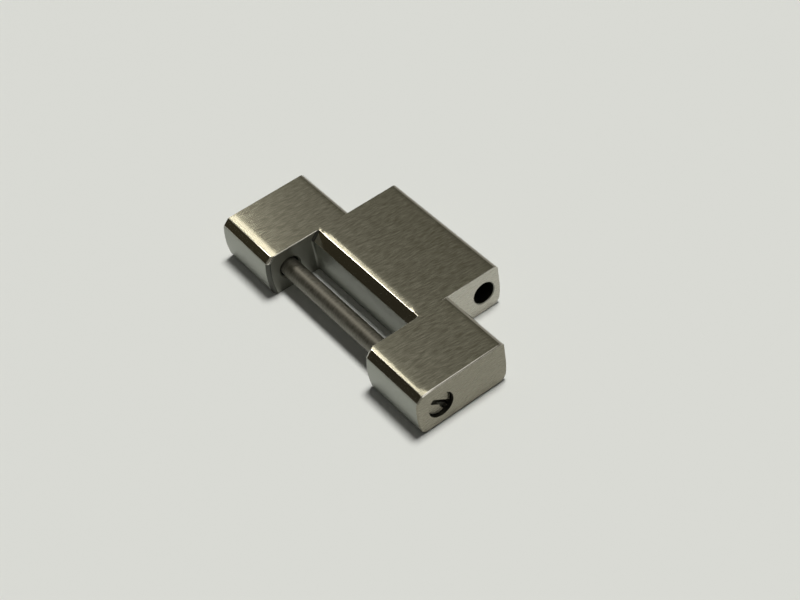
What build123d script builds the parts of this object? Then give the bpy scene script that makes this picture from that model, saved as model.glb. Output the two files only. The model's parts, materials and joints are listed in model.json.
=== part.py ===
from build123d import *
from math import sqrt
import os

# Watch bracelet link: one milled steel body, shaped as a fork at the front and a tongue at the back,
# and the slotted screw that crosses the fork and carries the next link's tongue.
# Millimetres. X runs across the bracelet, Y along it from the fork to the tongue, Z up from the wrist.
# The origin is on the underside, in the middle of the link's width and length.

# Overall sizes of the body
overall_width = 20.0
overall_length = 10.0
body_height = 3.0
arm_length = 6.37           # from the front to the shoulders behind the arms
slot_depth = 3.5            # from the front to the back wall of the fork's slot
tongue_width = 10.0

# Room beside the next link's tongue, on each side of it
tongue_side_clearance = 0.04

# Where the two cross holes lie
screw_from_front = 1.63
bore_from_back = 1.2
hole_height = 1.45          # of both holes' axes above the wrist side

# Side shape of the body
front_face_radius = 6.0     # the arms' front faces are slightly full
front_face_height = 1.4     # and stand furthest forward at this height
front_bevel = 0.38          # polished bevel above the front faces
front_edge_radius = 0.42    # between that bevel and the top
bevel_foot_radius = 0.3     # between that bevel and the front face
front_sole_radius = 0.3
upper_back_radius = 0.3     # upper edges of the shoulders and of the tongue's back
back_face_radius = 5.0      # the lower half of the back faces curves under with this radius
lower_back_radius = 0.6     # and runs into the underside with this one
slot_bevel = 0.53           # polished bevel above the slot's back wall
slot_corner_radius = 0.2    # left in the slot's corners by the milling cutter
edge_break = 0.06           # small bright bevel on the long edges and round the end faces

# Link screw
shank_radius = 0.6
head_radius = 0.84
head_length = 1.0
head_edge_break = 0.06
driver_slot_width = 0.28
driver_slot_depth = 0.4
driver_slot_angle = -36.0   # degrees, as the screw was left standing, seen from its head
thread_radius = 0.80
thread_root_radius = 0.70
thread_pitch = 0.25
thread_crest_share = 0.2    # share of the pitch that is flat on the crest
thread_base_share = 0.8     # share of the pitch that the ridge covers at its foot
neck_length = 0.3           # plain neck between the head and the thread
thread_length = 3.0
tip_chamfer = 0.2
root_bite = 0.03            # the thread's ridge starts this far inside the screw's core

# Fits of the screw and of its holes
head_clearance = 0.03
thread_clearance = 0.03
shank_clearance = 0.09
tongue_bore_clearance = 0.15
head_recess = 0.25          # the head's face lies this far inside the end face
tip_clearance = 0.35        # from the screw's tip to the end of its blind hole
blind_wall = 1.05           # steel left between the blind hole and the left end face
hole_mouth_break = 0.12
bore_mouth_break = 0.05

# One overrun serves every cut
overrun = 0.5

# Places that follow from the sizes above
slot_width = tongue_width + 2 * tongue_side_clearance
half_width = overall_width / 2
half_slot = slot_width / 2
half_tongue = tongue_width / 2
front_y = -overall_length / 2
back_y = overall_length / 2
shoulder_y = front_y + arm_length
slot_wall_y = front_y + slot_depth
screw_y = front_y + screw_from_front
bore_y = back_y - bore_from_back
middle_height = body_height / 2
ridge_height = thread_radius - thread_root_radius
bevel_foot_z = body_height - front_bevel

head_face_x = half_width - head_recess
head_seat_x = head_face_x - head_length
thread_start_x = head_seat_x - neck_length
thread_end_x = thread_start_x - thread_length
blind_end_x = -half_width + blind_wall
screw_tip_x = blind_end_x + tip_clearance

tongue_bore_radius = shank_radius + tongue_bore_clearance
blind_hole_radius = shank_radius + shank_clearance
thread_hole_radius = thread_radius + thread_clearance
head_hole_radius = head_radius + head_clearance

# Plane through the screw's axis, seen from above, for the outlines that turn about that axis
screw_plane = Plane(origin=(0, screw_y, hole_height), x_dir=(1, 0, 0), z_dir=(0, 0, 1))
screw_axis = Axis((0, screw_y, hole_height), (1, 0, 0))
bore_plane = Plane(origin=(0, bore_y, hole_height), x_dir=(1, 0, 0), z_dir=(0, 0, 1))
bore_axis = Axis((0, bore_y, hole_height), (1, 0, 0))


def front_face_y(height):
    """Place along the link of the arms' full front face, at a height above the wrist side."""
    rise = height - front_face_height
    return front_y + front_face_radius - sqrt(front_face_radius**2 - rise**2)


def tuck(height):
    """How far a back face has curved under, at a height below its middle."""
    return back_face_radius - sqrt(back_face_radius**2 - (middle_height - height) ** 2)


def draw_back(inner_y, face_y):
    """Side outline from inner_y back along the top, and down a back face that reaches face_y."""
    Polyline((inner_y, body_height), (face_y, body_height), (face_y, middle_height))
    ThreePointArc(
        (face_y, middle_height),
        (face_y - tuck(middle_height / 2), middle_height / 2),
        (face_y - tuck(0), 0),
    )


def side_corner(sketch, level, end):
    """Corner of a side outline: level 0 lowest or -1 highest, end 0 front or -1 back."""
    return sketch.vertices().group_by(Axis.Y)[level].sort_by(Axis.X)[end]


bevel_top_y = front_face_y(bevel_foot_z) + front_bevel

# Link body: a bar across the whole width for the arms, a narrower one for the tongue,
# and the slot cut out
with BuildPart() as link_body:
    with BuildSketch(Plane.YZ) as arm_side:
        with BuildLine():
            ThreePointArc(
                (front_face_y(0), 0),
                (front_y, front_face_height),
                (front_face_y(bevel_foot_z), bevel_foot_z),
            )
            Line((front_face_y(bevel_foot_z), bevel_foot_z), (bevel_top_y, body_height))
            draw_back(bevel_top_y, shoulder_y)
            Line((shoulder_y - tuck(0), 0), (front_face_y(0), 0))
        make_face()
        fillet(side_corner(arm_side, -2, 0), bevel_foot_radius)
        fillet(side_corner(arm_side, 0, 0), front_sole_radius)
        fillet(side_corner(arm_side, 0, -1), lower_back_radius)
        fillet(side_corner(arm_side, -1, 0), front_edge_radius)
        fillet(side_corner(arm_side, -1, -1), upper_back_radius)
    extrude(amount=half_width, both=True)

    with BuildSketch(Plane.YZ) as tongue_side:
        with BuildLine():
            draw_back(slot_wall_y, back_y)
            Polyline((back_y - tuck(0), 0), (slot_wall_y, 0), (slot_wall_y, body_height))
        make_face()
        fillet(side_corner(tongue_side, 0, -1), lower_back_radius)
        fillet(side_corner(tongue_side, -1, -1), upper_back_radius)
    extrude(amount=half_tongue, both=True)

    with BuildSketch(Plane.XY.offset(-overrun)):
        with BuildLine():
            Polyline(
                (-half_slot, front_y - overrun),
                (-half_slot, slot_wall_y),
                (half_slot, slot_wall_y),
                (half_slot, front_y - overrun),
                close=True,
            )
        make_face()
        fillet(vertices().group_by(Axis.Y)[-1], slot_corner_radius)
    extrude(amount=body_height + 2 * overrun, mode=Mode.SUBTRACT)

    # Bevel above the slot's back wall, which the slot's rounded corners run out into
    with BuildSketch(Plane.YZ):
        with BuildLine():
            Polyline(
                (slot_wall_y + slot_bevel, body_height),
                (slot_wall_y - overrun, body_height),
                (slot_wall_y - overrun, body_height - slot_bevel - overrun),
                close=True,
            )
        make_face()
    extrude(amount=half_slot, both=True, mode=Mode.SUBTRACT)

    # Small bright bevels along the slot's and the tongue's upper edges
    long_edges = edges().filter_by(Axis.Y).group_by(Axis.Z)[-1]
    chamfer(long_edges.filter_by_position(Axis.X, -half_slot, half_slot), edge_break)

    # Small bright bevels round the two end faces
    end_faces = faces().filter_by(Axis.X).group_by(Axis.X)
    chamfer(end_faces[-1].edges(), edge_break)
    end_faces = faces().filter_by(Axis.X).group_by(Axis.X)
    chamfer(end_faces[0].edges(), edge_break)

    # Bore across the tongue, for the neighbouring link's screw
    with BuildSketch(bore_plane):
        with BuildLine():
            Polyline(
                (-half_tongue, 0),
                (-half_tongue, tongue_bore_radius + bore_mouth_break),
                (-half_tongue + bore_mouth_break, tongue_bore_radius),
                (half_tongue - bore_mouth_break, tongue_bore_radius),
                (half_tongue, tongue_bore_radius + bore_mouth_break),
                (half_tongue, 0),
                close=True,
            )
        make_face()
    revolve(axis=bore_axis, mode=Mode.SUBTRACT)

    # Hole for the link screw: head recess and threaded length in the right arm, blind hole in the left
    with BuildSketch(screw_plane):
        with BuildLine():
            Polyline(
                (half_slot - overrun, 0),
                (half_slot - overrun, thread_hole_radius),
                (head_seat_x, thread_hole_radius),
                (head_seat_x, head_hole_radius),
                (half_width, head_hole_radius),
                (half_width, 0),
                close=True,
            )
        make_face()
        with BuildLine():
            Polyline(
                (blind_end_x, 0),
                (blind_end_x, blind_hole_radius),
                (-half_slot - hole_mouth_break, blind_hole_radius),
                (-half_slot, blind_hole_radius + hole_mouth_break),
                (-half_slot + overrun, blind_hole_radius + hole_mouth_break),
                (-half_slot + overrun, 0),
                close=True,
            )
        make_face()
    revolve(axis=screw_axis, mode=Mode.SUBTRACT)

link_body.part.label = "link_body"

# Link screw: head, neck, thread, plain shank and tip, all on the screw's axis
with BuildPart() as link_screw:
    with BuildSketch(screw_plane):
        with BuildLine():
            Polyline(
                (screw_tip_x, 0),
                (screw_tip_x, shank_radius - tip_chamfer),
                (screw_tip_x + tip_chamfer, shank_radius),
                (thread_end_x, shank_radius),
                (thread_end_x, thread_root_radius),
                (head_seat_x, thread_root_radius),
                (head_seat_x, head_radius),
                (head_face_x - head_edge_break, head_radius),
                (head_face_x, head_radius - head_edge_break),
                (head_face_x, 0),
                close=True,
            )
        make_face()
    revolve(axis=screw_axis)

    # Thread: one ridge swept along a helix towards the head
    with BuildLine():
        ridge_path = Helix(
            pitch=thread_pitch,
            height=thread_length,
            radius=thread_root_radius,
            center=(thread_end_x, screw_y, hole_height),
            direction=(1, 0, 0),
        )
    ridge_start = ridge_path @ 0
    outward = ridge_start - Vector(thread_end_x, screw_y, hole_height)
    with BuildSketch(Plane(origin=ridge_start, x_dir=outward, z_dir=ridge_path % 0)):
        with BuildLine():
            Polyline(
                (-root_bite, -thread_pitch * thread_base_share / 2),
                (0, -thread_pitch * thread_base_share / 2),
                (ridge_height, -thread_pitch * thread_crest_share / 2),
                (ridge_height, thread_pitch * thread_crest_share / 2),
                (0, thread_pitch * thread_base_share / 2),
                (-root_bite, thread_pitch * thread_base_share / 2),
                close=True,
            )
        make_face()
    sweep(path=ridge_path, is_frenet=True)

    # Slot for the screwdriver, across the head's face
    with BuildSketch(Plane(origin=(head_face_x, screw_y, hole_height), x_dir=(0, 1, 0), z_dir=(1, 0, 0))):
        Rectangle(2 * head_radius + overrun, driver_slot_width, rotation=driver_slot_angle)
    extrude(amount=-driver_slot_depth, mode=Mode.SUBTRACT)
link_screw.part.label = "link_screw"

os.makedirs("parts", exist_ok=True)
export_step(link_body.part, "parts/link_body.step")
export_step(link_screw.part, "parts/link_screw.step")
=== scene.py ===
import json
from math import cos, pi, radians, sin, sqrt, tan

import bmesh
import bpy
from mathutils import Matrix, Vector


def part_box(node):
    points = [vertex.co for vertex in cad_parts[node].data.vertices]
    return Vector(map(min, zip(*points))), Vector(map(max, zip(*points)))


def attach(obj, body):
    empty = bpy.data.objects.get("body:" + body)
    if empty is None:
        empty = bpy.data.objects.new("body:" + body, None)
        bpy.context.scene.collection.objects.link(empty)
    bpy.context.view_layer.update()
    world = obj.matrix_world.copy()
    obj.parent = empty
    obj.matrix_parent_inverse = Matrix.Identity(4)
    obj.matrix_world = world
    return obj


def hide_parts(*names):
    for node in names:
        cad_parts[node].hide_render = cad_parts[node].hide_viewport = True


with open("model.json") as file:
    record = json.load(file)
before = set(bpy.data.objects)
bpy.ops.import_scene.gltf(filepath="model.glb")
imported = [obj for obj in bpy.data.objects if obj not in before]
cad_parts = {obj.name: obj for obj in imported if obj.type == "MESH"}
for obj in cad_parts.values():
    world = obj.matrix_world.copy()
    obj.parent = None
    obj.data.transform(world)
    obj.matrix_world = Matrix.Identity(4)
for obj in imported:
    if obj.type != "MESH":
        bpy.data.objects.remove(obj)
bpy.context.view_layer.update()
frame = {"record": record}

# A steel watch bracelet link on pale paper: the milled body, and the slotted screw that crosses its
# fork. Pieces are modelled in millimetres in the frame's own axes, and made metres when finished.
MM = 0.001

# What the frame says of the body, of its bore and of the screw
body_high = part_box("link_body")[1] / MM
screw_low, screw_high = (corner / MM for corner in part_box("link_screw"))
bore = next(mount for mount in frame["record"]["mounts"] if mount["name"] == "tongue_bore")

half_width = body_high.x
back_y = body_high.y
front_y = -back_y               # the origin is in the middle of the link's length
height = body_high.z
middle_height = height / 2
bore_y = bore["pos_m"][1] / MM
hole_height = bore["pos_m"][2] / MM     # of the bore's and of the screw's axis
bore_radius = bore["dims"]["r_mm"]
half_tongue = bore["dims"]["length_mm"] / 2
screw_y = (screw_low.y + screw_high.y) / 2
head_radius = (screw_high.z - screw_low.z) / 2
head_face_x = screw_high.x
screw_tip_x = screw_low.x

# Sizes of the body that the frame doesn't give
arm_length = 6.37
slot_depth = 3.5
slot_corner_radius = 0.14
tongue_side_clearance = 0.04
tongue_root_length = 1.5        # how far the tongue's bar reaches into the arms' bar
front_face_radius = 6.0
front_face_height = 1.4         # where the full front faces stand furthest forward
front_sole_radius = 0.45
front_bevel = 0.42
slot_bevel = 0.56
back_face_radius = 5.0          # of the tucked lower half of the back faces
back_top_radius = 0.3
back_sole_radius = 0.6

# Softened corners left by the polishing wheel
bevel_foot_radius = 0.3         # between the front bevel and the full front face
slot_foot_radius = 0.1          # between the slot's bevel and its wall
arm_corner_radius = 0.27        # upright corners between the arms' front faces and the slot
arm_corner_crossing = radians(15)       # at which such a corner's curve crosses the front face
rim_width = 0.035               # of the rounding between the top and the bevels, and round the slot
end_rim_width = 0.1             # round the right end face
sharp_rim_width = 0.035         # round the left end face and the tongue's sides

# The flat top rolls away a little before its edges
front_roll_length = 1.0         # from the front bevel's upper edge back
front_roll_drop = 0.02          # at that edge
front_roll_power = 4            # it falls slowly at first, and fast near that edge
slot_roll_length = 0.47
slot_roll_radius = 6.0
back_roll_length = 0.6
back_roll_radius = 7.5
corner_roll_length = 0.6        # at the right arm's outer front corner, from the bevel back
corner_roll_drop = 0.025

# Where curved faces are cut into strips
front_steps = 9                 # of the full front face
arm_corner_steps = 6
turned_steps = 96               # round a hole or the screw
back_face_levels = (1.0, 0.8, 0.6, 0.4, 0.0)        # of a back face's tucked half
front_roll_shares = (0.4, 0.55, 0.68, 0.79, 0.89, 1.0)      # of the front roll's length
roll_shares = (1.0, 0.85, 0.7, 0.55)                # of the slot's and of the back roll's length
corner_roll_strips = (0.7, 0.55, 0.4, 0.25, 0.12)   # from the right end face
slot_roll_strips = (0.9, 0.69, 0.48, 0.27)          # from the slot's walls, where its roll dies away
arm_strip_width = 1.3 * arm_corner_radius           # of the top beside the slot

# Sizes of the screw and of its holes
head_length = 1.0
head_edge_radius = 0.06
neck_length = 0.3
thread_length = 3.0
thread_radius = 0.80
thread_root_radius = 0.70
thread_pitch = 0.25
thread_crest_share = 0.2        # of the pitch
thread_base_share = 0.8
thread_steps = 36               # in each turn
root_bite = 0.03                # the thread's ridge starts this far inside the screw's core
shank_radius = 0.615
tip_chamfer = 0.2
driver_slot_width = 0.34
driver_slot_depth = 0.4
driver_slot_angle = radians(-36.0)
slip_corners = ((0.0, -0.12), (0.62, -0.3), (0.32, -0.85), (0.06, -0.42))   # from the screw's axis
slip_depth = 0.2
head_hole_radius = 0.87
thread_hole_radius = 0.83
blind_hole_radius = 0.69
tip_clearance = 0.35            # from the screw's tip to the end of the blind hole
hole_mouth_break = 0.12
bore_mouth_break = 0.05
overrun = 0.5                   # of every cut, past the steel

# Places that follow
half_slot = half_tongue + tongue_side_clearance
shoulder_y = front_y + arm_length
slot_wall_y = front_y + slot_depth
slot_foot_z = height - slot_bevel
slot_edge_y = slot_wall_y + slot_bevel
head_seat_x = head_face_x - head_length
thread_end_x = head_seat_x - neck_length - thread_length
blind_end_x = screw_tip_x - tip_clearance
bevel_foot_z = height - front_bevel
back_top_z = height - back_roll_length**2 / (2 * back_roll_radius)

# Points nearer than this are one, and faces that turn by less than this are one
same_place = 1e-4
same_plane = radians(0.01)

# A rim that turns by more is rounded, and an edge of the finished mesh that does is drawn sharp
rim_turn = radians(30)
sharp_turn = radians(32)

# How much of an axis a face's normal has
square_on = 0.99                # the face looks straight along the axis
steep = 0.9                     # nearly so
aslant = 0.45                   # about half way
slight = 0.1                    # it is turned a little towards the axis

# The same, for single finishes of the body
satin_along = 0.85              # a satin face looks along the bracelet more than this
shaded_rim_across = 0.2             # a rim painted with shade looks across the bracelet more than this
corner_up = 0.4                 # an upright corner looks up less than this
corner_along = 0.95             # and along the bracelet less than this


def front_face_y(level):
    """Place along the link of the arms' full front face, at a height above the underside."""
    rise = level - front_face_height
    return front_y + front_face_radius - sqrt(front_face_radius**2 - rise**2)


def tuck(level):
    """How far a back face has curved under, at a height below the middle."""
    return back_face_radius - sqrt(back_face_radius**2 - (middle_height - level) ** 2)


bevel_top_y = front_face_y(bevel_foot_z) + front_bevel


def fade(value, start, end):
    """0 before start and 1 past end, with a soft rise between them."""
    share = min(max((value - start) / (end - start), 0), 1)
    return share * share * (3 - 2 * share)


def near(a, b):
    return abs(a - b) < same_place


def middle_of(edge):
    return (edge.verts[0].co + edge.verts[1].co) / 2


def push(mesh, cap, step):
    """Extrudes a face by a step, and gives the new face."""
    swept = bmesh.ops.extrude_face_region(mesh, geom=[cap, *cap.edges])["geom"]
    moved = next(part for part in swept if isinstance(part, bmesh.types.BMFace))
    bmesh.ops.translate(mesh, vec=step, verts=list(moved.verts))
    return moved


def prism(outline, left_x, right_x):
    """A solid with a side outline of (y, z) points, from left_x to right_x."""
    mesh = bmesh.new()
    cap = mesh.faces.new([mesh.verts.new((left_x, y, z)) for y, z in outline])
    push(mesh, cap, (right_x - left_x, 0, 0))
    bmesh.ops.recalc_face_normals(mesh, faces=mesh.faces)
    return mesh


def turned(outline, axis_y):
    """A solid of revolution about a line along X: its outline is a list of (x, radius) points."""
    mesh = bmesh.new()
    points = [mesh.verts.new((x, axis_y, hole_height + radius)) for x, radius in outline]
    edges = [mesh.edges.new(pair) for pair in zip(points, points[1:])]
    bmesh.ops.spin(
        mesh, geom=points + edges, cent=(0, axis_y, hole_height), axis=(1, 0, 0),
        angle=2 * pi, steps=turned_steps, use_merge=True,
    )
    bmesh.ops.remove_doubles(mesh, verts=mesh.verts, dist=same_place)
    bmesh.ops.recalc_face_normals(mesh, faces=mesh.faces)
    return mesh


def edges_along_x(mesh, y, z):
    """The edges that run along X through the point (y, z) of the side outline."""
    return [
        edge for edge in mesh.edges
        if all(near(end.co.y, y) and near(end.co.z, z) for end in edge.verts)
    ]


def edges_at_x(mesh, x):
    """The edges that bound the faces in the plane at x."""
    return [
        edge for edge in mesh.edges
        if all(near(end.co.x, x) for end in edge.verts)
        and not all(abs(face.normal.x) > square_on for face in edge.link_faces)
    ]


def cut_across(mesh, axis, places):
    """Cuts a mesh into strips at places along an axis: 0 is X and 1 is Y."""
    for place in places:
        through = Vector()
        through[axis] = place
        facing = Vector()
        facing[axis] = 1
        bmesh.ops.bisect_plane(
            mesh, geom=mesh.verts[:] + mesh.edges[:] + mesh.faces[:],
            plane_co=through, plane_no=facing, dist=same_place,
        )


def round_rim(mesh, edges, width, segments):
    """Rounds a rim of edges, as wide on both of its faces."""
    bmesh.ops.bevel(
        mesh, geom=edges, offset=width, offset_type="OFFSET", segments=segments,
        profile=0.5, affect="EDGES", clamp_overlap=False, material=-1,
    )


def round_edges(mesh, edges, radius, segments):
    """Rounds edges that all turn by the same angle, with a radius that meets both faces."""
    round_rim(mesh, edges, radius * tan(edges[0].calc_face_angle() / 2), segments)


def tidy(mesh):
    """Merges faces that lie in one plane."""
    bmesh.ops.dissolve_limit(mesh, angle_limit=same_plane, verts=mesh.verts, edges=mesh.edges)
    mesh.normal_update()


def as_object(mesh, name):
    """Writes a bmesh to a new object."""
    data = bpy.data.meshes.new(name)
    mesh.to_mesh(data)
    mesh.free()
    made = bpy.data.objects.new(name, data)
    bpy.context.scene.collection.objects.link(made)
    return made


def combine(base, mesh, operation):
    """Joins a solid to the base object, or cuts it away."""
    other = as_object(mesh, "cutter")
    step = base.modifiers.new(operation, "BOOLEAN")
    step.operation = operation
    step.solver = "EXACT"
    step.object = other
    seen = base.evaluated_get(bpy.context.evaluated_depsgraph_get())
    base.data = bpy.data.meshes.new_from_object(seen)
    base.modifiers.clear()
    bpy.data.objects.remove(other)


def back_outline(face_y):
    """Side outline over the top's roll and down a back face that stands furthest back at face_y."""
    rolled = [back_roll_length * (1 - share) for share in roll_shares] + [back_roll_length]
    over = [
        (face_y - back_roll_length + into, height - into**2 / (2 * back_roll_radius))
        for into in rolled
    ]
    down = [
        (face_y - tuck(middle_height * share), middle_height * share) for share in back_face_levels
    ]
    return over + down


# The bar that the arms are cut from: full front face, polished bevel and tucked back face
def arm_bar():
    outline = [
        (front_face_y(bevel_foot_z * step / front_steps), bevel_foot_z * step / front_steps)
        for step in range(front_steps + 1)
    ]
    roll_start_y = bevel_top_y + front_roll_length
    outline += [
        (roll_start_y - front_roll_length * share, height - front_roll_drop * share**front_roll_power)
        for share in reversed((0,) + front_roll_shares)
    ]
    outline += back_outline(shoulder_y)
    mesh = prism(outline, -half_width, half_width)

    for y, z, radius, segments in (
        (front_face_y(0), 0, front_sole_radius, 6),
        (front_face_y(bevel_foot_z), bevel_foot_z, bevel_foot_radius, 6),
        (shoulder_y, back_top_z, back_top_radius, 8),
        (shoulder_y - tuck(0), 0, back_sole_radius, 8),
    ):
        round_edges(mesh, edges_along_x(mesh, y, z), radius, segments)
    return mesh


# The bar that the tongue is cut from, with the same back face
def tongue_bar():
    root_y = shoulder_y - tongue_root_length
    mesh = prism([(root_y, 0), (root_y, height)] + back_outline(back_y), -half_tongue, half_tongue)
    round_edges(mesh, edges_along_x(mesh, back_y, back_top_z), back_top_radius, segments=8)
    round_edges(mesh, edges_along_x(mesh, back_y - tuck(0), 0), back_sole_radius, segments=8)
    for side_x in (-half_tongue, half_tongue):
        round_rim(mesh, edges_at_x(mesh, side_x), sharp_rim_width, segments=3)
    return mesh


# What the round mill takes out between the arms: its back wall leans back above the foot of the bevel
def slot_room():
    lean = slot_bevel + overrun
    mesh = bmesh.new()
    corners = [
        (-half_slot, front_y - overrun), (-half_slot, slot_wall_y),
        (half_slot, slot_wall_y), (half_slot, front_y - overrun),
    ]
    cap = mesh.faces.new([mesh.verts.new((x, y, -overrun)) for x, y in corners])
    cap = push(mesh, cap, (0, 0, slot_foot_z + overrun))
    cap = push(mesh, cap, (0, 0, lean))
    leaning = [end for end in cap.verts if near(end.co.y, slot_wall_y)]
    bmesh.ops.translate(mesh, vec=(0, lean, 0), verts=leaning)
    bmesh.ops.recalc_face_normals(mesh, faces=mesh.faces)
    round_edges(mesh, edges_along_x(mesh, slot_wall_y, slot_foot_z), slot_foot_radius, segments=4)
    for side_x in (-half_slot, half_slot):
        upright = [
            edge for edge in edges_at_x(mesh, side_x)
            if middle_of(edge).y > slot_wall_y - same_place and edge.calc_length() > same_place
            and not near(edge.verts[0].co.z, edge.verts[1].co.z)
        ]
        round_edges(mesh, upright, slot_corner_radius, segments=6)
    return mesh


# What is taken off an upright corner between the slot and an arm's front face: its curve follows
# the full front face and the bevel, and crosses the face at a slight angle
def corner_room(side):
    full_turn = pi / 2 - arm_corner_crossing
    turns = [full_turn * step / arm_corner_steps for step in range(arm_corner_steps + 1)]
    wall_x = side * half_slot
    start_y = front_face_y(bevel_foot_z / front_steps)
    curve = [
        (
            wall_x + side * arm_corner_radius * (1 - cos(turn)),
            start_y + arm_corner_radius * (1 - sin(turn)),
        )
        for turn in turns
    ]
    far_x = curve[-1][0] + side * overrun * cos(arm_corner_crossing)
    far_y = curve[-1][1] - overrun * sin(arm_corner_crossing)
    inner_x = wall_x - side * overrun
    plan = curve + [
        (far_x, far_y), (far_x, start_y - overrun),
        (inner_x, start_y - overrun), (inner_x, curve[0][1]),
    ]
    mesh = bmesh.new()
    cap = mesh.faces.new([mesh.verts.new((x, y, -overrun)) for x, y in plan])
    cap = push(mesh, cap, (0, 0, overrun + bevel_foot_z / front_steps))
    for step in range(1, front_steps):
        low, high = (bevel_foot_z * end / front_steps for end in (step, step + 1))
        cap = push(mesh, cap, (0, front_face_y(high) - front_face_y(low), high - low))
    lean = front_bevel + overrun
    push(mesh, cap, (0, lean, lean))
    bmesh.ops.recalc_face_normals(mesh, faces=mesh.faces)
    return mesh


def slot_drop(x, y):
    """How far the top has fallen behind the slot's bevel, less so towards the slot's corners."""
    into = min(slot_edge_y + slot_roll_length - y, slot_roll_length)
    beside = fade(abs(x), half_slot - slot_roll_strips[0], half_slot - slot_roll_strips[-1])
    return max(into, 0) ** 2 / (2 * slot_roll_radius) * (1 - beside)


def corner_drop(x, y):
    """How far the top has fallen at the right arm's outer front corner, besides the front roll."""
    outwards = fade(x, half_width - corner_roll_strips[0], half_width)
    forwards = fade(-y, -bevel_top_y - corner_roll_length, -bevel_top_y)
    return corner_roll_drop * outwards * forwards


def walls_the_slot(face):
    """Whether a face is one of the slot's own, upright or leaning, or a front bevel of an arm."""
    middle = face.calc_center_median()
    in_slot = abs(middle.x) < half_slot + arm_corner_radius and middle.y < slot_edge_y
    is_bevel = face.normal.y < -aslant and face.normal.z > aslant
    return abs(face.normal.z) < steep and (in_slot or is_bevel)


def soften_body(body):
    """Rolls the top off behind the slot and at one corner, and rounds all rims."""
    mesh = bmesh.new()
    mesh.from_mesh(body.data)
    tidy(mesh)
    cut_across(mesh, 1, [slot_edge_y + slot_roll_length * share for share in roll_shares])
    for side in (-1, 1):
        cut_across(mesh, 0, [side * (half_slot - inset) for inset in slot_roll_strips])
        cut_across(mesh, 0, [side * (half_slot + arm_strip_width)])
    cut_across(mesh, 0, [half_width - inset for inset in corner_roll_strips])
    for point in mesh.verts:
        if near(point.co.z, height) and abs(point.co.x) < half_slot and point.co.y > slot_wall_y:
            drop = slot_drop(point.co.x, point.co.y)
            slides = drop if point.co.y < slot_edge_y + same_place else 0
            point.co -= Vector((0, slides, drop))
        on_top = point.co.z > height - front_roll_drop - same_place
        if on_top and point.co.y > bevel_top_y - same_place:
            drop = corner_drop(point.co.x, point.co.y)
            slides = drop if point.co.y < bevel_top_y + same_place else 0
            point.co -= Vector((0, slides, drop))
    tidy(mesh)
    rim = [
        edge for edge in mesh.edges
        if len([face for face in edge.link_faces if walls_the_slot(face)]) == 1
        and edge.calc_face_angle() > rim_turn and abs(middle_of(edge).x) < half_width - same_place
    ]
    round_rim(mesh, rim, rim_width, segments=4)
    round_rim(mesh, edges_at_x(mesh, half_width), end_rim_width, segments=4)
    round_rim(mesh, edges_at_x(mesh, -half_width), sharp_rim_width, segments=3)
    mesh.to_mesh(body.data)
    mesh.free()


def body_solid():
    """The whole milled body as one closed mesh, in millimetres."""
    body = as_object(arm_bar(), "link_body_steel")
    combine(body, tongue_bar(), "UNION")
    combine(body, slot_room(), "DIFFERENCE")
    for side in (-1, 1):
        combine(body, corner_room(side), "DIFFERENCE")
    soften_body(body)

    # The tongue's bore, then the screw's entry in the right arm and its blind hole in the left
    wide_mouth = bore_radius + bore_mouth_break + overrun
    bore_cut = [
        (-half_tongue - overrun, 0), (-half_tongue - overrun, wide_mouth),
        (-half_tongue + bore_mouth_break, bore_radius), (half_tongue - bore_mouth_break, bore_radius),
        (half_tongue + overrun, wide_mouth), (half_tongue + overrun, 0),
    ]
    combine(body, turned(bore_cut, bore_y), "DIFFERENCE")
    right_cut = [
        (half_slot - overrun, 0), (half_slot - overrun, thread_hole_radius),
        (head_seat_x, thread_hole_radius), (head_seat_x, head_hole_radius),
        (half_width + overrun, head_hole_radius), (half_width + overrun, 0),
    ]
    combine(body, turned(right_cut, screw_y), "DIFFERENCE")
    left_cut = [
        (blind_end_x, 0), (blind_end_x, blind_hole_radius),
        (-half_slot - hole_mouth_break, blind_hole_radius),
        (-half_slot + overrun, blind_hole_radius + hole_mouth_break + overrun),
        (-half_slot + overrun, 0),
    ]
    combine(body, turned(left_cut, screw_y), "DIFFERENCE")
    return body


def thread_ridge():
    """The ridge of the thread, spun along its helix."""
    mesh = bmesh.new()
    half_base = thread_pitch * thread_base_share / 2
    half_crest = thread_pitch * thread_crest_share / 2
    section = [
        (-half_base, thread_root_radius - root_bite), (-half_base, thread_root_radius),
        (-half_crest, thread_radius), (half_crest, thread_radius),
        (half_base, thread_root_radius), (half_base, thread_root_radius - root_bite),
    ]
    points = [
        mesh.verts.new((thread_end_x + x, screw_y, hole_height + radius)) for x, radius in section
    ]
    edges = [mesh.edges.new(pair) for pair in zip(points, points[1:] + points[:1])]
    turns = thread_length / thread_pitch
    bmesh.ops.spin(
        mesh, geom=points + edges, cent=(0, screw_y, hole_height), axis=(1, 0, 0),
        angle=2 * pi * turns, dvec=(thread_pitch / thread_steps, 0, 0),
        steps=round(thread_steps * turns),
    )
    bmesh.ops.holes_fill(mesh, edges=[edge for edge in mesh.edges if edge.is_boundary])
    bmesh.ops.recalc_face_normals(mesh, faces=mesh.faces)
    return mesh


def driver_slot():
    """What the slot for the screwdriver takes out of the head."""
    mesh = bmesh.new()
    size = (2 * driver_slot_depth, 2 * head_radius + overrun, driver_slot_width)
    turn = Matrix.Rotation(driver_slot_angle, 3, "X")
    bmesh.ops.create_cube(mesh, size=1)
    bmesh.ops.scale(mesh, vec=size, verts=mesh.verts)
    bmesh.ops.rotate(mesh, cent=(0, 0, 0), matrix=turn, verts=mesh.verts)
    bmesh.ops.translate(mesh, vec=(head_face_x, screw_y, hole_height), verts=mesh.verts)
    return mesh


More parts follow.
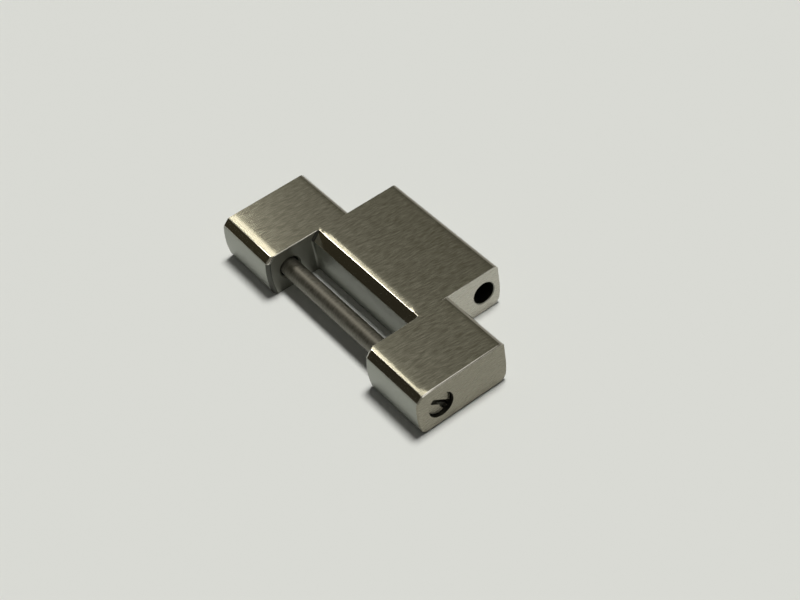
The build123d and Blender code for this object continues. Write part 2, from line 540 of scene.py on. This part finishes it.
# What the screwdriver tore out of the slot's lower lip when it slipped, down to the head's rim
def slip_mark():
    mesh = bmesh.new()
    floor_x = head_face_x - slip_depth
    cap = mesh.faces.new([
        mesh.verts.new((floor_x, screw_y + y, hole_height + z)) for y, z in slip_corners
    ])
    push(mesh, cap, (slip_depth + overrun, 0, 0))
    bmesh.ops.recalc_face_normals(mesh, faces=mesh.faces)
    return mesh


def screw_solid():
    """The link screw, in millimetres: head, neck, thread and shank on one axis."""
    outline = [
        (screw_tip_x, 0), (screw_tip_x, shank_radius - tip_chamfer),
        (screw_tip_x + tip_chamfer, shank_radius), (thread_end_x, shank_radius),
        (thread_end_x, thread_root_radius), (head_seat_x, thread_root_radius),
        (head_seat_x, head_radius), (head_face_x, head_radius), (head_face_x, 0),
    ]
    mesh = turned(outline, screw_y)
    face_centre = Vector((head_face_x, screw_y, hole_height))
    rim = [
        edge for edge in mesh.edges
        if all(near((end.co - face_centre).length, head_radius) for end in edge.verts)
    ]
    round_edges(mesh, rim, head_edge_radius, segments=3)
    screw = as_object(mesh, "link_screw_steel")
    combine(screw, thread_ridge(), "UNION")
    combine(screw, driver_slot(), "DIFFERENCE")
    combine(screw, slip_mark(), "DIFFERENCE")
    return screw


def hole_distance(point):
    """How far a point is from the nearer of the two cross holes' axes."""
    return min(Vector((point.y - y, point.z - hole_height)).length for y in (bore_y, screw_y))


# The body's finishes, in the order of its materials
GROUND_TOP, GROUND_END, GROUND_SIDE, SATIN, POLISHED, MILLED, DRILLED_AND_SHADED, SHADED_RIM = range(8)


def body_finish(face):
    """Which of the body's finishes a face has, from where it lies and which way it looks."""
    middle = face.calc_center_median()
    out = abs(middle.x)
    across, along, up = abs(face.normal.x), abs(face.normal.y), face.normal.z

    # The mouths of the cross holes, then their walls and the steps deep inside them, whose colour is
    # painted shade
    by_hole = hole_distance(middle) < head_hole_radius + hole_mouth_break
    if by_hole and out < half_width - same_place:
        if aslant < across < steep:
            return MILLED
        if across < steep or out > half_slot + overrun:
            return DRILLED_AND_SHADED

    # The flats
    if abs(up) > square_on:
        return GROUND_TOP
    if across > square_on and near(out, half_width):
        return GROUND_END
    if across > square_on and near(out, half_tongue):
        return GROUND_SIDE

    # The slot's side walls, then the ends of the bevel behind it and the arms' upright corners, whose
    # colour is painted shade
    in_slot = out < half_slot + same_place and middle.y < slot_wall_y + same_place
    if in_slot and across > slight and up < slight:
        return MILLED
    if out < half_slot and middle.y < slot_edge_y and across > slight and up < steep:
        return DRILLED_AND_SHADED
    on_arm_corner = half_slot < out < half_slot + arm_corner_radius and middle.y < bevel_top_y
    if on_arm_corner and up < corner_up and along < corner_along:
        return DRILLED_AND_SHADED

    # Lower rims, painted with the shade where the link meets the paper, the right end face's upright
    # rims, full faces, and all that is left: the bevels
    # painted shade: the lower rims are given a near black steel colour
    if across > shaded_rim_across and up < -slight:
        return SHADED_RIM
    if abs(up) < aslant and middle.x > half_width - end_rim_width:
        return GROUND_END
    if along > satin_along or up < -slight:
        return SATIN
    return POLISHED


def screw_finish(face):
    """0 for the screw's turned steel, and 1 for the ground face of its head."""
    return int(near(face.calc_center_median().x, head_face_x))


# Patterns on the steel, in millimetres across the bracelet, along it and up
groove_size = Vector((0.07, 0.6, 0.07))
streak_size = Vector((0.3, 1.5, 0.3))
streak_share = 0.1              # of the streaks in the ground steel's grain
groove_depth = 0.002
ring_size = Vector((0.12, 0.35, 0.35))

bump_strength = 0.3
gloss_spread = 0.15             # the grain lowers and raises a roughness by this share of it
noise_low = 0.35                # a noise seldom leaves the values between these two
noise_high = 0.65
quarter_turn = 0.25             # of a highlight, which then lies across the grooves


def linear(code):
    """An sRGB hex colour as linear numbers."""
    parts = [int(code[place:place + 2], 16) / 255 for place in (1, 3, 5)]
    return [
        part / 12.92 if part <= 0.04045 else ((part + 0.055) / 1.055) ** 2.4 for part in parts
    ] + [1]


def add_node(tree, kind, feeds=None, **settings):
    """Adds a node, with its settings, and its sockets either set to a value or linked."""
    node = tree.nodes.new(kind)
    for name, value in settings.items():
        setattr(node, name, value)
    for socket, value in (feeds or {}).items():
        if isinstance(value, bpy.types.NodeSocket):
            tree.links.new(value, node.inputs[socket])
        else:
            node.inputs[socket].default_value = value
    return node


def new_material(name):
    material = bpy.data.materials.new(name)
    material.use_nodes = True
    material.node_tree.nodes.clear()
    return material, material.node_tree


# Stainless steel, ground on a belt along the bracelet: fine parallel grooves that draw the light out
# into a band across them, with broader streaks. Real grooves are about 0.03 mm wide, too fine to
# show, so they are drawn 0.07 mm wide. The lie is their angle to the bracelet, seen from above.
def ground_steel(name, dark, pale, roughness, lie=0.0):
    material, tree = new_material(name)
    place = add_node(tree, "ShaderNodeTexCoord").outputs["Object"]
    turn = (0, 0, -radians(lie))
    grooves = add_node(
        tree, "ShaderNodeMapping",
        {"Vector": place, "Rotation": turn, "Scale": groove_size * MM}, vector_type="TEXTURE",
    )
    grooves = add_node(
        tree, "ShaderNodeTexNoise", {"Vector": grooves.outputs[0], "Scale": 1.0, "Detail": 1.5},
    )
    streaks = add_node(
        tree, "ShaderNodeMapping",
        {"Vector": place, "Rotation": turn, "Scale": streak_size * MM}, vector_type="TEXTURE",
    )
    streaks = add_node(
        tree, "ShaderNodeTexNoise", {"Vector": streaks.outputs[0], "Scale": 1.0, "Detail": 2.0},
    )
    both = add_node(
        tree, "ShaderNodeMix",
        {"Factor": streak_share, "A": grooves.outputs["Fac"], "B": streaks.outputs["Fac"]},
    )
    grain = add_node(
        tree, "ShaderNodeMapRange",
        {"Value": both.outputs[0], "From Min": noise_low, "From Max": noise_high},
    )
    tone = add_node(
        tree, "ShaderNodeMix", {"Factor": grain.outputs[0], "A": linear(dark), "B": linear(pale)},
        data_type="RGBA",
    )
    gloss = add_node(
        tree, "ShaderNodeMapRange",
        {
            "Value": grain.outputs[0],
            "To Min": roughness * (1 - gloss_spread), "To Max": roughness * (1 + gloss_spread),
        },
    )
    bump = add_node(
        tree, "ShaderNodeBump",
        {"Height": grain.outputs[0], "Strength": bump_strength, "Distance": groove_depth * MM},
    )
    along = add_node(
        tree, "ShaderNodeVectorTransform", {"Vector": (sin(radians(lie)), cos(radians(lie)), 0)},
        vector_type="VECTOR", convert_from="OBJECT", convert_to="WORLD",
    )
    steel = add_node(
        tree, "ShaderNodeBsdfPrincipled",
        {
            "Base Color": tone.outputs["Result"], "Metallic": 1.0, "Roughness": gloss.outputs[0],
            "Anisotropic": 1.0, "Anisotropic Rotation": quarter_turn, "Tangent": along.outputs[0],
            "Normal": bump.outputs[0],
        },
    )
    add_node(tree, "ShaderNodeOutputMaterial", {"Surface": steel.outputs[0]})
    return material


# Stainless steel with an even grain. What a wheel, a mill or a drill leaves is 0.01 to 0.05 mm wide,
# too fine to show, so it is drawn 0.1 or 0.2 mm wide.
def plain_steel(name, colour, roughness, grain_mm, depth_mm):
    material, tree = new_material(name)
    place = add_node(tree, "ShaderNodeTexCoord").outputs["Object"]
    grain = add_node(
        tree, "ShaderNodeTexNoise", {"Vector": place, "Scale": 1 / (grain_mm * MM), "Detail": 2.0},
    )
    gloss = add_node(
        tree, "ShaderNodeMapRange",
        {
            "Value": grain.outputs["Fac"],
            "To Min": roughness * (1 - gloss_spread), "To Max": roughness * (1 + gloss_spread),
        },
    )
    bump = add_node(
        tree, "ShaderNodeBump",
        {"Height": grain.outputs["Fac"], "Strength": bump_strength, "Distance": depth_mm * MM},
    )
    steel = add_node(
        tree, "ShaderNodeBsdfPrincipled",
        {
            "Base Color": linear(colour), "Metallic": 1.0, "Roughness": gloss.outputs[0],
            "Normal": bump.outputs[0],
        },
    )
    add_node(tree, "ShaderNodeOutputMaterial", {"Surface": steel.outputs[0]})
    return material


# Stainless steel turned on a lathe: fine rings round the screw, which draw the light out along it.
# Real rings are about 0.05 mm wide, too fine to show, so they are drawn 0.12 mm wide.
def turned_steel():
    material, tree = new_material("turned_stainless_steel")
    place = add_node(tree, "ShaderNodeTexCoord").outputs["Object"]
    rings = add_node(
        tree, "ShaderNodeMapping", {"Vector": place, "Scale": ring_size * MM}, vector_type="TEXTURE",
    )
    rings = add_node(
        tree, "ShaderNodeTexNoise", {"Vector": rings.outputs[0], "Scale": 1.0, "Detail": 3.0},
    )
    rings = add_node(
        tree, "ShaderNodeMapRange",
        {"Value": rings.outputs["Fac"], "From Min": noise_low, "From Max": noise_high},
    )
    tone = add_node(
        tree, "ShaderNodeMix",
        {"Factor": rings.outputs[0], "A": linear("#6f6d64"), "B": linear("#87857c")},
        data_type="RGBA",
    )
    gloss = add_node(
        tree, "ShaderNodeMapRange", {"Value": rings.outputs[0], "To Min": 0.5, "To Max": 0.62},
    )
    across = add_node(
        tree, "ShaderNodeVectorTransform", {"Vector": (1, 0, 0)},
        vector_type="VECTOR", convert_from="OBJECT", convert_to="WORLD",
    )
    steel = add_node(
        tree, "ShaderNodeBsdfPrincipled",
        {
            "Base Color": tone.outputs["Result"], "Metallic": 1.0, "Roughness": gloss.outputs[0],
            "Anisotropic": 0.3, "Tangent": across.outputs[0],
        },
    )
    add_node(tree, "ShaderNodeOutputMaterial", {"Surface": steel.outputs[0]})
    return material


# Uncoated paper: matt and nearly white, so that it takes soft shadows and mirrors nothing
def paper():
    material, tree = new_material("matt_paper")
    sheet = add_node(
        tree, "ShaderNodeBsdfPrincipled",
        {"Base Color": linear("#dcddd7"), "Roughness": 0.85, "Specular IOR Level": 0.2},
    )
    add_node(tree, "ShaderNodeOutputMaterial", {"Surface": sheet.outputs[0]})
    return material


def ends_the_flat(edge):
    """Whether an edge parts the flat top from a rim that turns down to one side."""
    ups = sorted(face.normal.z for face in edge.link_faces)
    aside = max(abs(face.normal.x) for face in edge.link_faces)
    return ups[-1] > square_on > ups[0] and aside > slight


def finish_piece(piece, body, node, materials, finish_of):
    """Makes a piece metres, gives each face its finish, and sets it on the body that carries it."""
    mesh = bmesh.new()
    mesh.from_mesh(piece.data)
    bmesh.ops.remove_doubles(mesh, verts=mesh.verts, dist=same_place)
    tidy(mesh)
    for face in mesh.faces:
        face.material_index = finish_of(face)
        face.smooth = True
    for edge in mesh.edges:
        edge.smooth = edge.calc_face_angle(pi) < sharp_turn and not ends_the_flat(edge)
    bmesh.ops.scale(mesh, vec=(MM, MM, MM), verts=mesh.verts)
    piece.data.materials.clear()
    for material in materials:
        piece.data.materials.append(material)
    mesh.to_mesh(piece.data)
    mesh.free()
    weighted = piece.modifiers.new("flat_faces_stay_flat", "WEIGHTED_NORMAL")
    weighted.keep_sharp = True
    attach(piece, body)
    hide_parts(node)


body = body_solid()
ground_end = ground_steel("ground_steel_end", "#8f8b7d", "#9f9b8c", roughness=0.28)
finish_piece(
    body, "body", "link_body",
    [
        # The top and the underside, ground finest and a little askew: dark, with a shimmering grain
        ground_steel("ground_steel_top", "#8a8777", "#9b9989", roughness=0.2, lie=7.0),
        # The end faces: a broader, duller glow
        ground_end,
        # The tongue's sides: as the end faces, but painted paler, a painted lighter reflection
        ground_steel("ground_steel_side", "#bab7ac", "#c9c6bb", roughness=0.28),
        # The full faces in front and behind: a soft grey that mirrors the room as a blur
        plain_steel("satin_stainless_steel", "#9fa199", roughness=0.46, grain_mm=0.1, depth_mm=0.003),
        # The bevels and upper rims: near mirrors, with crisp bright and dark bands
        plain_steel("polished_stainless_steel", "#c9c6bd", roughness=0.14, grain_mm=0.2, depth_mm=0.001),
        # The slot's side walls and the holes' mouths: dull, with a faint glow
        plain_steel("milled_stainless_steel", "#98988f", roughness=0.45, grain_mm=0.1, depth_mm=0.003),
        # The holes' walls, the ends of the slot's bevel and the upright corners: dull, and painted
        # nearly black as the shade that falls in them
        plain_steel("drilled_stainless_steel_painted_shade", "#50504b", roughness=0.4, grain_mm=0.1, depth_mm=0.003),
        # The lower rims: painted shade, nearly black like the shade where the link meets the paper
        plain_steel("rim_stainless_steel_painted_shade", "#4a4740", roughness=0.5, grain_mm=0.1, depth_mm=0.003),
    ],
    body_finish,
)
screw = screw_solid()
finish_piece(
    screw, "screw", "link_screw", [turned_steel(), ground_end], screw_finish,
)

# Paper that the link lies on, a hair below the underside, so that the two don't share a plane
paper_reach = 3.0               # metres, from the middle to an edge
paper_drop = 0.01
floor_mesh = bmesh.new()
bmesh.ops.create_grid(floor_mesh, x_segments=1, y_segments=1, size=paper_reach)
bmesh.ops.translate(floor_mesh, vec=(0, 0, -paper_drop * MM), verts=floor_mesh.verts)
floor = as_object(floor_mesh, "paper")
floor.data.materials.append(paper())

# Light: the metal mirrors a room whose colour changes along the bracelet, dark in front, palest a
# little behind overhead and grey further back. The paper sees it as an even dim grey.
wall_colours = (
    # place along the bracelet, from -1 in front of the link to 1 behind it
    (-0.84, "#807e76"), (-0.78, "#353228"), (-0.70, "#2d2a21"), (-0.66, "#3b3729"),
    (-0.5, "#3b3729"), (-0.3, "#5b5951"), (0.0, "#807e76"), (0.2, "#a9a7a0"),
    (0.26, "#bcbab3"), (0.295, "#c9c7c0"), (0.31, "#b9b7b0"), (0.325, "#a09e97"),
    (0.345, "#8c8a83"), (0.37, "#868479"), (0.42, "#7a7870"), (0.53, "#7a7870"),
    (0.65, "#a09e97"),
)
world = bpy.data.worlds.new("studio")
bpy.context.scene.world = world
world.use_nodes = True
room = world.node_tree
room.nodes.clear()
look = add_node(room, "ShaderNodeTexCoord").outputs["Generated"]
look = add_node(room, "ShaderNodeSeparateXYZ", {0: look}).outputs

# The dark part of the room is on the left alone, where the front bevels mirror it: further right,
# no place counts as in front of the link
plainer = add_node(
    room, "ShaderNodeMapRange",
    {"Value": look["X"], "From Min": -0.45, "From Max": -0.2, "To Min": -1.0, "To Max": 0.0},
)
along = add_node(room, "ShaderNodeMath", {0: look["Y"], 1: plainer.outputs[0]}, operation="MAXIMUM")
along = add_node(
    room, "ShaderNodeMapRange", {"Value": along.outputs[0], "From Min": -1.0, "From Max": 1.0},
)
walls = add_node(room, "ShaderNodeValToRGB", {"Fac": along.outputs[0]})
for place, colour in wall_colours:
    stop = walls.color_ramp.elements.new((place + 1) / 2)
    stop.color = linear(colour)
walls.color_ramp.elements.remove(walls.color_ramp.elements[-1])
walls.color_ramp.elements.remove(walls.color_ramp.elements[0])

path = add_node(room, "ShaderNodeLightPath").outputs
mirrored = add_node(
    room, "ShaderNodeMath", {0: path["Is Camera Ray"], 1: path["Is Glossy Ray"]}, operation="ADD",
)
mirrored = add_node(
    room, "ShaderNodeMath", {0: mirrored.outputs[0], 1: path["Is Transmission Ray"]},
    operation="ADD", use_clamp=True,
)
light = add_node(
    room, "ShaderNodeMix",
    {"Factor": mirrored.outputs[0], "A": linear("#525252"), "B": walls.outputs[0]},
    data_type="RGBA",
)
sky = add_node(room, "ShaderNodeBackground", {"Color": light.outputs["Result"], "Strength": 1.0})
add_node(room, "ShaderNodeOutputWorld", {"Surface": sky.outputs[0]})

lamp_distance = 0.5             # metres from the link


def place_lamp(name, kind, towards, colour):
    """A lamp in a direction from the link, that shines on it."""
    data = bpy.data.lights.new(name, kind)
    data.color = linear(colour)[:3]
    lamp = bpy.data.objects.new(name, data)
    direction = Vector(towards).normalized()
    turn = direction.to_track_quat("Z", "Y").to_matrix().to_4x4()
    lamp.matrix_world = Matrix.Translation(direction * lamp_distance) @ turn
    bpy.context.scene.collection.objects.link(lamp)
    return lamp


def place_panel(name, towards, colour, degrees_along, degrees_across, radiance):
    """A lamp that the metal mirrors, as wide and as long as two angles seen from the link."""
    lamp = place_lamp(name, "AREA", towards, colour)
    lamp.data.shape = "RECTANGLE"
    lamp.data.size = 2 * lamp_distance * tan(radians(degrees_along) / 2)
    lamp.data.size_y = 2 * lamp_distance * tan(radians(degrees_across) / 2)
    lamp.data.energy = radiance * pi * lamp.data.size * lamp.data.size_y
    return lamp


# A soft lamp nearly overhead gives the shadows, and the metal mirrors the panel in its place; a long
# lamp on the left gives the bright lines along the front edges, and a dim one on the right lightens
# the edges that face it
overhead = (-0.044, 0.255, 0.966)
key = place_lamp("ceiling_lamp", "SUN", overhead, "#ffffff")
key.data.energy = 2.8
key.data.angle = radians(15)
key.visible_glossy = False
place_panel(
    "ceiling_lamp_face", overhead, "#ffffff", degrees_along=14, degrees_across=14, radiance=1.5,
)
long_lamp = place_panel(
    "long_lamp", (-0.65, 0.08, 0.745), "#fffaf2", degrees_along=21, degrees_across=9, radiance=10.5,
)
long_lamp.visible_diffuse = False
right_lamp = place_panel(
    "right_lamp", (0.74, 0.10, 0.62), "#ffffff", degrees_along=22, degrees_across=22, radiance=1.6,
)
right_lamp.visible_diffuse = False

# Camera, as fitted to the link's straight edges in the photograph
camera_azimuth = radians(60.355)
camera_elevation = radians(45.508)
camera_roll = radians(-10.366)
camera_distance = 97.01 * MM
camera_target = Vector((0.693, 0.539, 0)) * MM

back = Vector((
    sin(camera_azimuth) * cos(camera_elevation),
    -cos(camera_azimuth) * cos(camera_elevation),
    sin(camera_elevation),
))
level_right = (-back).cross(Vector((0, 0, 1))).normalized()
level_up = level_right.cross(-back)
right = cos(camera_roll) * level_right + sin(camera_roll) * level_up
up = cos(camera_roll) * level_up - sin(camera_roll) * level_right
camera_data = bpy.data.cameras.new("camera")
camera_data.sensor_width = 36.0
camera_data.lens = 72.0
camera_data.clip_start = 0.005
camera = bpy.data.objects.new("camera", camera_data)
camera_turn = Matrix((right, up, back)).transposed().to_4x4()
camera.matrix_world = Matrix.Translation(camera_target + back * camera_distance) @ camera_turn
bpy.context.scene.collection.objects.link(camera)
bpy.context.scene.camera = camera
bpy.context.scene.view_settings.view_transform = "Standard"
